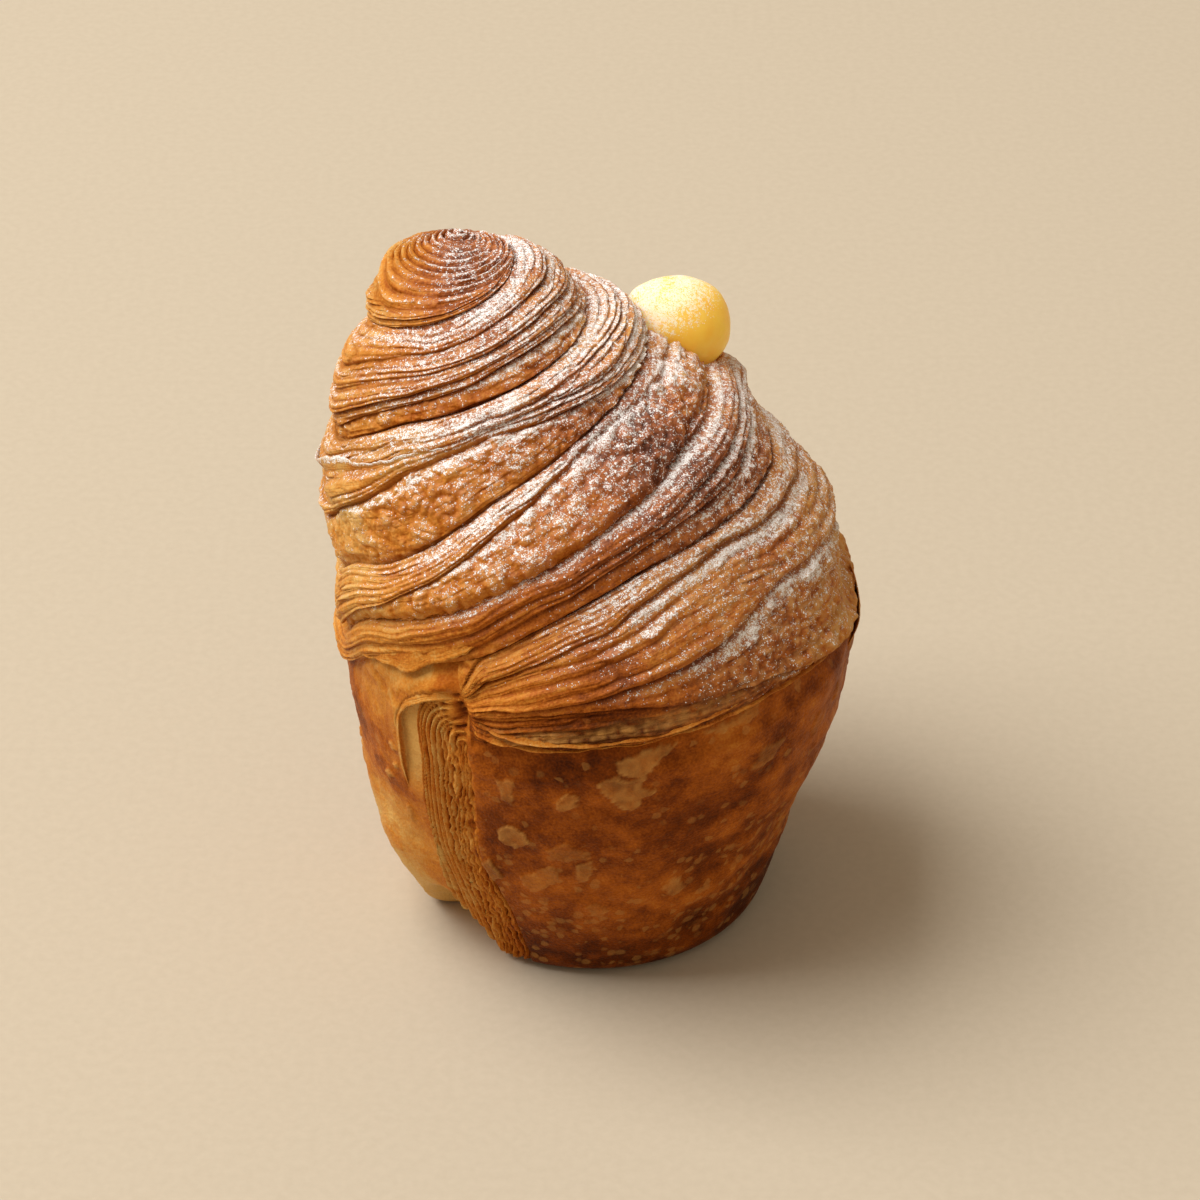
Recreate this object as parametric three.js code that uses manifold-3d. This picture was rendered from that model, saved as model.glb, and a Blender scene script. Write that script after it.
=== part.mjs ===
// A cruffin: laminated pastry wound into a coil and baked in a muffin tin, with cream set in its shoulder.
// Millimetres, +Z up. The origin is the middle of the flat underside, -Y is the front and +X the right.

import * as THREE from 'three';
import { mergeVertices } from 'three/addons/utils/BufferGeometryUtils.js';
import Module from 'manifold-3d';

// Base, shaped by the tin
const RIM_HEIGHT = 48;
const FOOT_ROUNDING = 4;
const DEPTH_RATIO = 0.95; // front-to-back size over width
const BASE_SECTIONS = { height: [4, 20, 34, 48], radius: [27.8, 33.8, 37.2, 39.3] };

// Crown, a loft of leaning rings from the rim at level 1 to the tip at level 2. Tilt lifts the right side.
const CROWN_SECTIONS = {
  level: [1, 1.2, 1.4, 1.6, 1.8, 1.92, 1.97, 2],
  radius: [39.3, 38, 33.6, 27.6, 17.4, 9.8, 6.4, 0],
  x: [1.4, -1.2, -6.8, -12.6, -19.2, -22.4, -23.3, -23.8],
  y: [0, 0.5, 2, 4, 6, 7.5, 7.8, 8],
  z: [48, 60.5, 75.5, 86.5, 98, 106.5, 110.2, 112],
  tilt: [8, 9, 11, 14, 17, 19, 19, 19],
};

// Coil: the groove below each turn, as degrees round from the tail of the strip and the level there
const TAIL_AZIMUTH = -28; // from the front, towards +X
const GROOVE_TURNS = [
  [[0, 1.1], [70, 1.085], [118, 1], [180, 0.97], [260, 1.02], [308, 1.09], [334, 1.235]],
  [[0, 1.275], [29, 1.35], [58, 1.39], [106, 1.38], [220, 1.34], [314, 1.345], [342, 1.435]],
  [[0, 1.51], [28, 1.605], [73, 1.66], [110, 1.67], [200, 1.625], [303, 1.64], [334, 1.71]],
  [[0, 1.75], [51, 1.766], [110, 1.77], [200, 1.795], [322, 1.886]],
  [[0, 1.896], [110, 1.91], [220, 1.945]],
  [[0, 2]],
];
const BAND_BULGE = 2.2; // how far the middle of a turn stands out from its grooves
const BULGE_PEAK = 0.55; // where across a turn it stands out most, from its lower groove
const TIP_BULGE = 1.4; // the same at the tip
const TIP_START = 2.5; // turns from the tail where the bulge starts to lessen
const TIP_RADIUS = 6; // radius below which the relief shrinks to nothing at the tip
const GROOVE_SHARE = 0.62; // of the bulge that lies inside the loft
const GROOVE_SHARPNESS = 0.8; // power of the bulge's arch, lower for a sharper groove
const RIM_OVERHANG = 0.8; // of the first turn, over the base
const OVERHANG_END = 0.85; // share of the first turn after which the overhang fades

// Edges of the layers, as ridges along each turn, and the fold inside the first turn
const RIDGES_PER_TURN = 7;
const RIDGE_HEIGHT = 0.8;
const RIDGE_START = 0.4; // share of a turn's height that is smooth skin below its ridges
const RIDGE_FULL = 0.5;
const FOLD = { turn: 1.15, full: 0.4, end: 0.6, across: 0.42, width: 0.09, depth: 1.6 };

// Tail of the strip on the base: a tongue of skin beside a fan of layer edges, over a notch in the foot
const TONGUE = { azimuth: -49, width: 4, height: 0.9 };
const LOBE = { azimuth: -66, width: 18, height: 16, spread: 12, swell: 2 };
const FAN = { edges: 4, pitch: 4.4, ridge: 1.4, recess: 0.4, drift: 9, reach: 22 };
const FAN_START = TAIL_AZIMUTH - FAN.edges * FAN.pitch;
const NOTCH = { from: -74, peak: -46, to: -30, height: 12.5, depth: 7, edge: 2.5, steepness: 3 };

// Cream
const CREAM_CENTRE = new THREE.Vector3(12.4, 14.4, 94);
const CREAM_RADII = new THREE.Vector3(8.1, 7.2, 7);
const CREAM_TURN = 0.45; // radians about the front-to-back axis, lifting the narrow left end
const CREAM_TAPER = 0.12;
const CREAM_GAP = 0.3;

// Looks
const PASTRY_LOOK = { color: '#b8722f', roughness: 0.6, metalness: 0 };
const CREAM_LOOK = { color: '#f2cf5e', roughness: 0.4, metalness: 0 };

// Fineness of the mesh
const ROWS_PER_TURN = 2 * RIDGES_PER_TURN;
const COLUMN_STEP = 5.8; // degrees
const TAIL_COLUMN_STEP = FAN.pitch / 2;
const TAIL_SPAN = { before: 13 * TAIL_COLUMN_STEP, after: 6 * TAIL_COLUMN_STEP }; // degrees beside the tail
const FOOT_ROWS = [0, 0.2, 0.55, 1]; // shares of the foot's rounding
const WALL_ROWS = 8;
const CREAM_SEGMENTS = { round: 24, high: 18 };

const radians = THREE.MathUtils.degToRad;
const smoothstep = THREE.MathUtils.smoothstep;
const bump = (value, middle, width) => Math.exp(-Math.pow((value - middle) / width, 2));

// A smooth curve through points that never overshoots them.
function monotoneCurve(xs, ys) {
  const slopes = xs.slice(1).map((x, i) => (ys[i + 1] - ys[i]) / (x - xs[i]));
  const tangents = xs.map((_, i) => {
    if (i === 0) return slopes[0];
    if (i === slopes.length) return slopes[i - 1];
    const [before, after] = [slopes[i - 1], slopes[i]];
    return before * after <= 0 ? 0 : (2 * before * after) / (before + after);
  });
  return (x) => {
    let i = 0;
    while (i < slopes.length - 1 && x > xs[i + 1]) i += 1;
    const span = xs[i + 1] - xs[i];
    const t = THREE.MathUtils.clamp((x - xs[i]) / span, 0, 1);
    const bend = t * t * (3 - 2 * t);
    const start = t * (1 - t) * (1 - t) * span * tangents[i];
    const end = t * t * (t - 1) * span * tangents[i + 1];
    return ys[i] * (1 - bend) + ys[i + 1] * bend + start + end;
  };
}

const wallRadius = monotoneCurve(BASE_SECTIONS.height, BASE_SECTIONS.radius);
const crown = {};
for (const key of ['radius', 'x', 'y', 'z', 'tilt']) {
  crown[key] = monotoneCurve(CROWN_SECTIONS.level, CROWN_SECTIONS[key]);
}
const grooveTurns = GROOVE_TURNS.flatMap((turn, i) => turn.map(([degrees]) => i + degrees / 360));
const grooveLevels = GROOVE_TURNS.flatMap((turn) => turn.map(([, level]) => level));
const grooveLevel = monotoneCurve(grooveTurns, grooveLevels);
const LAST_TURN = GROOVE_TURNS.length - 1;

// Centre, radius and tilt of the ring at a level: 0 to 1 climbs the base, 1 to 2 the crown.
function ring(level) {
  if (level >= 1) {
    const at = (key) => crown[key](level);
    return { x: at('x'), y: at('y'), z: at('z'), radius: at('radius'), tilt: at('tilt') };
  }
  const z = level * RIM_HEIGHT;
  const below = Math.max(0, 1 - z / FOOT_ROUNDING);
  const inset = FOOT_ROUNDING * (1 - Math.sqrt(1 - below * below));
  return {
    x: CROWN_SECTIONS.x[0] * level,
    y: 0,
    z,
    radius: wallRadius(Math.max(z, FOOT_ROUNDING)) - inset,
    tilt: CROWN_SECTIONS.tilt[0] * level * level,
  };
}

// The point on a ring at an azimuth in degrees, moved outward.
function ringPoint(azimuth, level, outward) {
  const { x, y, z, radius, tilt } = ring(level);
  const reach = radius + outward;
  const side = reach * Math.sin(radians(azimuth));
  const front = DEPTH_RATIO * reach * Math.cos(radians(azimuth));
  const lift = side * Math.sin(radians(tilt));
  return new THREE.Vector3(x + side * Math.cos(radians(tilt)), y - front, z + lift);
}

// Level of a row: rows lie between the groove below their turn and the one above it.
function rowLevel(row, round) {
  const turn = Math.floor(row / ROWS_PER_TURN);
  const across = row / ROWS_PER_TURN - turn;
  const lower = grooveLevel(turn + round);
  const upper = grooveLevel(Math.min(turn + 1 + round, LAST_TURN));
  return lower + (upper - lower) * across;
}

// Bulge of a turn, its ridges and its fold, from the groove at 0 to the next groove at 1.
function coilRelief(row, round) {
  const across = (row / ROWS_PER_TURN) % 1;
  const turn = row / ROWS_PER_TURN - across + round;
  const bulge = THREE.MathUtils.lerp(BAND_BULGE, TIP_BULGE, smoothstep(turn, TIP_START, LAST_TURN - 1));
  const arch = Math.sin(Math.PI * Math.pow(across, Math.log(0.5) / Math.log(BULGE_PEAK)));
  const swell = bulge * (Math.pow(Math.abs(arch), GROOVE_SHARPNESS) - GROOVE_SHARE);
  const ridged = smoothstep(across, RIDGE_START, RIDGE_FULL) * (row % 2 === 0 ? 0.5 : -0.5);
  const folded = 1 - smoothstep(Math.abs(turn - FOLD.turn), FOLD.full, FOLD.end);
  const fold = folded * FOLD.depth * bump(across, FOLD.across, FOLD.width);
  const first = row < ROWS_PER_TURN ? 1 - smoothstep(round, OVERHANG_END, 1) : 0;
  const lip = first * (RIM_OVERHANG + bulge * GROOVE_SHARE) * (1 - smoothstep(across, 0, BULGE_PEAK));
  return swell + RIDGE_HEIGHT * ridged - fold + lip;
}

// Degrees by which the layer edges beside the tail have drifted to the right at a level.
function fanDrift(azimuth, level) {
  return FAN.drift * Math.max(0, 1 - level) * bump(azimuth, (FAN_START + TAIL_AZIMUTH) / 2, FAN.reach);
}

// Tongue and fan along the drifting edges, and the lobe and notch beside them.
function tailRelief(azimuth, level) {
  const tongue = TONGUE.height * bump(azimuth, TONGUE.azimuth, TONGUE.width);
  const entered = smoothstep(azimuth, FAN_START - FAN.pitch / 2, FAN_START + FAN.pitch / 2);
  const left = smoothstep(azimuth, TAIL_AZIMUTH - FAN.pitch / 2, TAIL_AZIMUTH + FAN.pitch);
  const edges = (FAN.ridge / 2) * Math.cos(((azimuth - FAN_START) / FAN.pitch) * 2 * Math.PI) - FAN.recess;
  const height = level * RIM_HEIGHT;
  const place = azimuth + fanDrift(azimuth, level);
  const lobe = LOBE.swell * bump(place, LOBE.azimuth, LOBE.width) * bump(height, LOBE.height, LOBE.spread);
  const sides = smoothstep(place, NOTCH.from, NOTCH.peak) * (1 - smoothstep(place, NOTCH.peak, NOTCH.to));
  const above = smoothstep(height - NOTCH.height * sides, -NOTCH.edge, NOTCH.edge);
  const notch = NOTCH.depth * Math.min(1, sides * NOTCH.steepness) * (1 - above);
  return tongue + lobe + entered * (1 - left) * edges - notch;
}

// Levels of the base's rows at one column, from the foot's edge up to the rim.
function baseLevels(round) {
  const rim = grooveLevel(round);
  const foot = FOOT_ROWS.map((share) => (share * FOOT_ROUNDING) / RIM_HEIGHT);
  const top = foot[foot.length - 1];
  const wall = Array.from({ length: WALL_ROWS }, (_, i) => top + ((rim - top) * (i + 1)) / WALL_ROWS);
  return foot.concat(wall);
}

// One column of points from the foot to the last row below the tip, each with its row and level.
function column(degreesRound) {
  const round = degreesRound / 360;
  const azimuth = TAIL_AZIMUTH + degreesRound;
  const nearTail = degreesRound > 180 ? azimuth - 360 : azimuth;
  const base = baseLevels(round);
  const points = base.map((level, row) => {
    const drift = fanDrift(nearTail, level);
    return { row, level, point: ringPoint(azimuth + drift, level, tailRelief(nearTail, level)) };
  });
  const rimRow = base.length - 1;
  for (let row = 1; row < (LAST_TURN - round) * ROWS_PER_TURN; row += 1) {
    const level = rowLevel(row, round);
    const shrink = Math.min(1, ring(level).radius / TIP_RADIUS);
    const relief = shrink * coilRelief(row, round);
    points.push({ row: rimRow + row, level, point: ringPoint(azimuth, level, relief) });
  }
  return { points, rimRow };
}

// Degrees round from the tail at each column, closer together at the tail.
function columnDegrees() {
  const { before, after } = TAIL_SPAN;
  const evenly = (from, to, step) => {
    const count = Math.round((to - from) / step);
    return Array.from({ length: count }, (_, i) => from + ((to - from) * i) / count);
  };
  return [
    ...evenly(0, after, TAIL_COLUMN_STEP),
    ...evenly(after, 360 - before, COLUMN_STEP),
    ...evenly(360 - before, 360, TAIL_COLUMN_STEP),
  ];
}

// Triangles between two columns, climbing whichever is lower and both where their ranks agree.
function zip(left, right, leftRank, rightRank, triangles) {
  let [i, j] = [0, 0];
  while (i < left.length - 1 || j < right.length - 1) {
    const upLeft = i < left.length - 1 ? leftRank(left[i + 1]) : Infinity;
    const upRight = j < right.length - 1 ? rightRank(right[j + 1]) : Infinity;
    if (upRight <= upLeft) {
      triangles.push(left[i].index, right[j].index, right[j + 1].index);
      j += 1;
    }
    if (upLeft <= upRight) {
      triangles.push(left[i].index, right[j].index, left[i + 1].index);
      i += 1;
    }
  }
}

function geometryFrom(points, triangles) {
  const geometry = new THREE.BufferGeometry();
  const coordinates = points.flatMap((point) => point.toArray());
  geometry.setAttribute('position', new THREE.Float32BufferAttribute(coordinates, 3));
  geometry.setIndex(triangles);
  return geometry;
}

// The coil with its base, closed below by the flat foot and above by the tip.
function pastryGeometry() {
  const vertices = [new THREE.Vector3(0, 0, 0), ringPoint(0, 2, 0)];
  const triangles = [];
  const columns = columnDegrees().map(column);
  for (const { points } of columns) {
    for (const entry of points) {
      entry.index = vertices.length;
      vertices.push(entry.point);
    }
  }
  const rim = columns[0].rimRow;
  const byRow = ({ row }) => row;
  const belowTail = ({ row, level }) => (row < rim ? level : rim + ROWS_PER_TURN + row);
  const aboveTail = ({ row, level }) => (row < rim + ROWS_PER_TURN ? level : rim + row);
  columns.forEach(({ points }, c) => {
    const next = columns[(c + 1) % columns.length].points;
    const last = c === columns.length - 1;
    zip(points, next, last ? belowTail : byRow, last ? aboveTail : byRow, triangles);
    triangles.push(0, next[0].index, points[0].index);
    triangles.push(1, points[points.length - 1].index, next[next.length - 1].index);
  });
  return geometryFrom(vertices, triangles);
}

// An egg of cream, larger by a margin where it shapes the hollow that holds it.
function creamGeometry(margin) {
  const geometry = new THREE.SphereGeometry(1, CREAM_SEGMENTS.round, CREAM_SEGMENTS.high);
  geometry.deleteAttribute('normal');
  geometry.deleteAttribute('uv');
  const egg = mergeVertices(geometry);
  const position = egg.getAttribute('position');
  const point = new THREE.Vector3();
  for (let i = 0; i < position.count; i += 1) {
    point.fromBufferAttribute(position, i);
    const girth = 1 + CREAM_TAPER * point.x;
    point.set(
      point.x * (CREAM_RADII.x + margin),
      point.y * girth * (CREAM_RADII.y + margin),
      point.z * girth * (CREAM_RADII.z + margin),
    );
    position.setXYZ(i, point.x, point.y, point.z);
  }
  egg.rotateY(CREAM_TURN);
  return egg;
}

function solidFrom(wasm, geometry) {
  const vertProperties = new Float32Array(geometry.getAttribute('position').array);
  const triVerts = new Uint32Array(geometry.getIndex().array);
  return new wasm.Manifold(new wasm.Mesh({ numProp: 3, vertProperties, triVerts }));
}

function geometryFromSolid(solid) {
  const { vertProperties, triVerts } = solid.getMesh();
  const geometry = new THREE.BufferGeometry();
  geometry.setAttribute('position', new THREE.BufferAttribute(vertProperties, 3));
  geometry.setIndex(new THREE.BufferAttribute(triVerts, 1));
  return geometry;
}

function mesh(name, geometry, look) {
  geometry.computeVertexNormals();
  const result = new THREE.Mesh(geometry, new THREE.MeshStandardMaterial(look));
  result.name = name;
  return result;
}

const wasm = await Module();
wasm.setup();
const { x, y, z } = CREAM_CENTRE;
const hollow = creamGeometry(CREAM_GAP).translate(x, y, z);
const pastry = solidFrom(wasm, pastryGeometry()).subtract(solidFrom(wasm, hollow));
const cream = mesh('cream', creamGeometry(0), CREAM_LOOK);
cream.position.copy(CREAM_CENTRE);

const cruffin = new THREE.Group();
cruffin.add(mesh('pastry', geometryFromSolid(pastry), PASTRY_LOOK), cream);

export default cruffin;
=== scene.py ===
"""A cruffin: laminated pastry wound in a leaning coil on a base shaped by a tin, with cream in its shoulder.

Sizes are in millimetres until the meshes are made. Azimuths are in degrees from the front towards +X.
"""

import itertools
import math

import bpy
import numpy as np
from mathutils import Matrix, Vector


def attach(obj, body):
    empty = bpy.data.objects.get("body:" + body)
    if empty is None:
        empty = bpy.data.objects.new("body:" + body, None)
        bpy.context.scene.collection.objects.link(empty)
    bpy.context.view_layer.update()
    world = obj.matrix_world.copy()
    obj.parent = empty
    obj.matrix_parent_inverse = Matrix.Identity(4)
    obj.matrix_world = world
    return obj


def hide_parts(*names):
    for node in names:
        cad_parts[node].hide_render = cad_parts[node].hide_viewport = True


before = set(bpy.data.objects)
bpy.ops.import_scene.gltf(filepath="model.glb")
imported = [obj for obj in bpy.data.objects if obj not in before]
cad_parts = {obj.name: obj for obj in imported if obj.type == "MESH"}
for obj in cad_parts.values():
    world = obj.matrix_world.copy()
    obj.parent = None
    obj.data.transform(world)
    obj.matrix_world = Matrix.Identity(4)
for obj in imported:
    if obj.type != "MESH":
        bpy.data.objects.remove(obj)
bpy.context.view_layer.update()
scene = bpy.context.scene

MM = 0.001
SEED = 7

# Form, as the solids have it
RIM_HEIGHT = 48.0
FOOT_ROUNDING = 4.0
DEPTH_RATIO = 0.95
BASE_HEIGHT = (4, 20, 34, 48)
BASE_RADIUS = (27.8, 33.8, 37.2, 39.3)
CROWN_LEVEL = (1, 1.2, 1.4, 1.6, 1.8, 1.92, 1.97, 2)
CROWN = {
    "radius": (39.3, 38, 33.6, 27.6, 17.4, 10.4, 7.9, 0),
    "x": (1.4, -1.2, -6.8, -12.6, -19.2, -21.7, -22.4, -22.9),
    "y": (0, 0.5, 2, 4, 6, 7.5, 7.8, 8),
    "z": (48, 60.5, 75.5, 86.5, 98, 106.5, 110.2, 112),
    "tilt": (8, 9, 11, 14, 17, 16, 6, 0),
}
TIP_LEAN = {"from": 1.9, "back": 3.0, "down": 2.8}
KNOB_FROM, KNOB_RIDGES, KNOB_LENGTH = 1.9, 12, 14  # level, number, millimetres up it
KNOB_APEX = (0.1, 0.85)  # from the knob's middle to the right and back, in its radius
TAIL = -28.0
GROOVE_TURNS = (
    ((0, 1.1), (70, 1.085), (118, 1), (180, 0.97), (260, 1.02), (308, 1.09), (334, 1.235)),
    (
        *((0, 1.275), (29, 1.35), (58, 1.39), (106, 1.38), (220, 1.34)),
        *((290, 1.295), (308, 1.315), (325, 1.388), (342, 1.44)),
    ),
    ((0, 1.51), (28, 1.605), (73, 1.66), (110, 1.67), (200, 1.625), (303, 1.64), (334, 1.71)),
    ((0, 1.75), (51, 1.766), (110, 1.77), (200, 1.795), (322, 1.886)),
    ((0, 1.896), (110, 1.91), (220, 1.945)),
    ((0, 2),),
)
TURNS = len(GROOVE_TURNS) - 1
BAND_BULGE, TIP_BULGE = 2.2, 1.4
CREAM_CENTRE = np.array((12.4, 14.4, 94.0))
CREAM_RADII = np.array((8.1, 7.2, 7.0))
CREAM_TURN, CREAM_TAPER, CREAM_GAP = 0.45, 0.12, 0.3

# Layers: four guide lines split each turn into five zones, from its lower groove at 0 to the next one at 1.
# Each guide is given where the turn passes these azimuths. EDGES counts the layers that end in each zone, and
# RIDGED says how far they stand out there.
GUIDE_AZIMUTHS = (-90, -60, -30, 0, 30, 60, 90)
GUIDES = (
    (
        (0.08, 0.08, 0.08, 0.10, 0.05, 0.03, 0.03),
        (0.44, 0.44, 0.44, 0.38, 0.20, 0.08, 0.06),
        (0.55, 0.55, 0.55, 0.48, 0.50, 0.66, 0.60),
        (0.77, 0.77, 0.77, 0.80, 0.88, 0.91, 0.87),
    ),
    (
        (0.03, 0.04, 0.11, 0.12, 0.17, 0.20, 0.30),
        (0.15, 0.18, 0.21, 0.22, 0.25, 0.36, 0.44),
        (0.40, 0.39, 0.38, 0.365, 0.43, 0.57, 0.62),
        (0.48, 0.52, 0.72, 0.83, 0.92, 0.93, 0.90),
    ),
    (
        (0.30, 0.52, 0.66, 0.70, 0.50, 0.25, 0.12),
        (0.50, 0.62, 0.72, 0.745, 0.62, 0.38, 0.30),
        (0.72, 0.86, 0.79, 0.775, 0.71, 0.50, 0.48),
        (0.85, 0.92, 0.87, 0.85, 0.80, 0.76, 0.68),
    ),
    (
        (0.10, 0.22, 0.25, 0.28, 0.33, 0.27, 0.15),
        (0.28, 0.36, 0.38, 0.41, 0.44, 0.38, 0.28),
        (0.50, 0.57, 0.57, 0.57, 0.57, 0.55, 0.47),
        (0.70, 0.74, 0.75, 0.76, 0.77, 0.75, 0.70),
    ),
    tuple((share,) * len(GUIDE_AZIMUTHS) for share in (0.15, 0.32, 0.50, 0.72)),
)
EDGES = ((3, 5, 2, 4, 6), (2, 2, 5, 3, 7), (2, 3, 1, 2, 4), (2, 3, 4, 4, 5), (3, 3, 3, 4, 4))
RIDGED = (
    (0.9, 1.0, 0.35, 0.75, 1.0),
    (0.5, 1.0, 0.8, 0.12, 0.85),
    (0.1, 0.9, 1.0, 1.0, 1.0),
    (0.25, 0.9, 1.0, 1.0, 0.9),
    (0.8, 1.0, 1.0, 1.0, 0.7),
)
BAND_WIDTH = (19, 17, 12, 12, 13, 13)  # across the coil after each turn
COIL_LENGTH = (0, 230, 420, 560, 650, 700)  # along it after each turn

# Tail on the base: at these levels, the azimuth of the fan's right side, and degrees from it to the fan's
# left side and to the lip. Above the knot's foot these are measured round the knot.
FAN_LEVELS = (0.05, 0.2, 0.35, 0.5, 0.6, 0.9, 1.05, 1.13, 1.175, 1.21)
FAN_RIGHT = (-21.5, -22.5, -24.5, -28, -29.8, -30.3, -30, -29.4, -29, -28.8)
FAN_WIDTH = (21.5, 20.7, 18.9, 15.6, 14, 13.7, 13.5, 13.4, 13.2, 13)
LIP_WIDTH = (27, 26, 24, 22, 21, 19.3, 19.3, 19.6, 20.5, 21.3)
FAN_EDGES = 11
KNOT = {"azimuth": -29.3, "level": 1.165, "width": 1.6, "height": 0.03, "depth": 1.3}
KNOT_FOOT, FAN_RISE, LIP_RISE = 1.07, 90, 145  # above this level a level counts as so many degrees
ARCH = 2.6  # 2 would round the fan's top like an ellipse, more makes it squarer
LOBE = {"azimuth": -66, "width": 18, "height": 16, "rise": 12, "out": 2}  # in degrees and millimetres
NOTCH = {"from": -74, "middle": -46, "to": -30, "height": 12.5, "edge": 2.5, "depth": 7}
DRIFT, DRIFT_AZIMUTH, DRIFT_WIDTH = 9, -36.8, 22  # degrees that the grid leans to the right at the foot
# Where across the first turn its layers meet at the knot, how closely, and over how much of the turn
KNOT_ACROSS, KNOT_GATHER, KNOT_REACH = 0.37, 0.33, 0.022

# Swellings of the coil: azimuth, level, half width, half height, height in millimetres
SWELLINGS = (
    (115, 1.87, 28, 0.05, 1.2),
    (112, 1.47, 8, 0.035, 1.8),
    (95, 1.09, 22, 0.09, -3.6),
    (-85, 1.17, 25, 0.09, -1.6),
    (-80, 1.5, 20, 0.05, -1.3),
)
BASE_HOLLOW = (72, 0.42, 38, 0.26, -2.4)

# Torn flakes and blisters on the base: lift in millimetres, paleness, outline by azimuth and level
FLAKES = (
    (0.3, 0.5, (3, 1.05), (8, 1.06), (14, 1.068), (17, 1.06), (14, 1.03), (9.5, 1), (5, 0.995), (3.5, 1.02)),
    (
        *(0.3, 0.5, (-2, 0.99), (3, 1), (9, 0.99), (9.3, 0.95), (11.5, 0.925)),
        *((8.5, 0.9), (8, 0.87), (4.5, 0.865), (1, 0.93)),
    ),
    (0.25, 0.45, (24, 1.065), (33, 1.075), (38, 1.07), (37, 1.05), (33, 1.035), (27, 1.04)),
    (0.35, 0.5, (-25, 0.75), (-21, 0.785), (-17.5, 0.755), (-16.5, 0.715), (-20, 0.67), (-24, 0.7)),
    (0.3, 0.45, (-11, 0.91), (-8, 0.95), (-4.5, 0.935), (-5.5, 0.89), (-9, 0.875)),
    (0.2, 0.35, (-23.5, 0.99), (-19.5, 1.005), (-19.3, 0.93), (-20, 0.88), (-22.5, 0.9)),
    (0.4, 0.35, (-29.5, 0.55), (-27, 0.6), (-24, 0.55), (-24, 0.51), (-27, 0.475)),
    (0.2, 0.25, (-20, 0.53), (-16, 0.56), (-11, 0.6), (-9, 0.55), (-12, 0.49), (-17, 0.46)),
    (0.2, 0.2, (-13, 0.68), (-8, 0.725), (-4, 0.69), (-3, 0.64), (-9, 0.62)),
    (0.2, 0.35, (-5.5, 0.62), (-2, 0.63), (-2, 0.53), (-5.5, 0.515)),
    (0.2, 0.4, (16, 0.47), (19, 0.5), (23, 0.43), (20, 0.4)),
    (0.2, 0.25, (-3, 0.4), (0, 0.43), (3, 0.38), (1, 0.34), (-2, 0.35)),
    (0.2, 0.25, (34, 0.87), (37, 0.94), (44, 0.92), (41, 0.87)),
    (0.4, 0.6, (-55, 0.97), (-53, 1.0), (-51, 0.98), (-52.5, 0.95)),
    (0.4, 0.6, (-54.5, 0.88), (-52, 0.91), (-50.5, 0.88), (-53, 0.86)),
    (0.4, 0.5, (-59, 0.8), (-56.5, 0.83), (-54, 0.81), (-57, 0.78)),
    (0.4, 0.5, (-53, 0.67), (-51, 0.7), (-49, 0.66), (-50, 0.62), (-52, 0.64)),
)
RAGGED = 0.8  # millimetres that their edges stray
DEGREE = 0.64  # millimetres round the base
STRAY_BLISTERS, BLISTER_CORNERS = 60, 7

# Thin sheets that stand off the pastry: azimuths along each, levels of its root and free edge there, how far
# the edge stands out in millimetres, brown tone and sugar
SHEETS = {
    "flake_left": {
        "azimuths": (-104, -96, -88, -79, -70, -61, -52, -43, -34, -25, -16, -7),
        "root": (1.5, 1.515, 1.53, 1.56, 1.59, 1.625, 1.65, 1.67, 1.685, 1.698, 1.708, 1.714),
        "edge": (1.535, 1.55, 1.568, 1.608, 1.645, 1.667, 1.675, 1.688, 1.706, 1.717, 1.724, 1.724),
        "out": (-0.3, 0.9, 1.2, 1.0, 0.8, 0.7, 0.6, 0.5, 0.5, 0.5, 0.4, -0.2),
        "tone": 0.3, "sugar": 1.2,
    },
    "fold_front": {
        "azimuths": (-62, -56, -50, -45, -40, -35, -30, -25, -21),
        "root": (1.222, 1.236, 1.258, 1.275, 1.29, 1.304, 1.318, 1.328, 1.335),
        "edge": (1.21, 1.222, 1.236, 1.236, 1.246, 1.266, 1.284, 1.3, 1.316),
        "out": (-0.6, 0.1, 0.2, 0.3, 0.4, 0.4, 0.4, 0.2, -0.6),
        "tone": 0.45, "sugar": 0.0,
    },
    "curl_right": {
        "azimuths": (76, 80, 84, 88, 92, 96, 100, 104),
        "root": (0.96, 0.945, 0.935, 0.93, 0.935, 0.945, 0.955, 0.97),
        "edge": (0.975, 0.995, 1.01, 1.025, 1.045, 1.05, 1.03, 1.0),
        "out": (-0.2, 0.3, 0.5, 0.6, 0.6, 0.5, 0.2, -0.2),
        "tone": 0.42, "sugar": 0.15,
    },
    "rim_layer_1": {
        "azimuths": (-27, -22, -15, -7, 1, 9, 16),
        "root": (1.135, 1.128, 1.116, 1.106, 1.094, 1.096, 1.1),
        "edge": (1.128, 1.12, 1.107, 1.098, 1.085, 1.089, 1.094),
        "out": (-0.2, 0.5, 0.6, 0.3, 0.6, 0.5, -0.2),
        "tone": 0.56, "sugar": 0.0,
    },
    "rim_layer_2": {
        "azimuths": (-25, -19, -12, -4, 4, 12, 22, 32),
        "root": (1.156, 1.146, 1.133, 1.122, 1.114, 1.112, 1.114, 1.118),
        "edge": (1.15, 1.139, 1.126, 1.116, 1.108, 1.105, 1.108, 1.113),
        "out": (-0.2, 0.5, 0.6, 0.5, 0.2, 0.6, 0.4, -0.2),
        "tone": 0.52, "sugar": 0.05,
    },
    "rim_layer_3": {
        "azimuths": (4, 12, 22, 32, 42, 52, 62),
        "root": (1.108, 1.105, 1.105, 1.105, 1.1, 1.09, 1.068),
        "edge": (1.102, 1.098, 1.097, 1.097, 1.092, 1.082, 1.062),
        "out": (-0.2, 0.4, 0.5, 0.4, 0.5, 0.4, -0.2),
        "tone": 0.56, "sugar": 0.05,
    },
}
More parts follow.
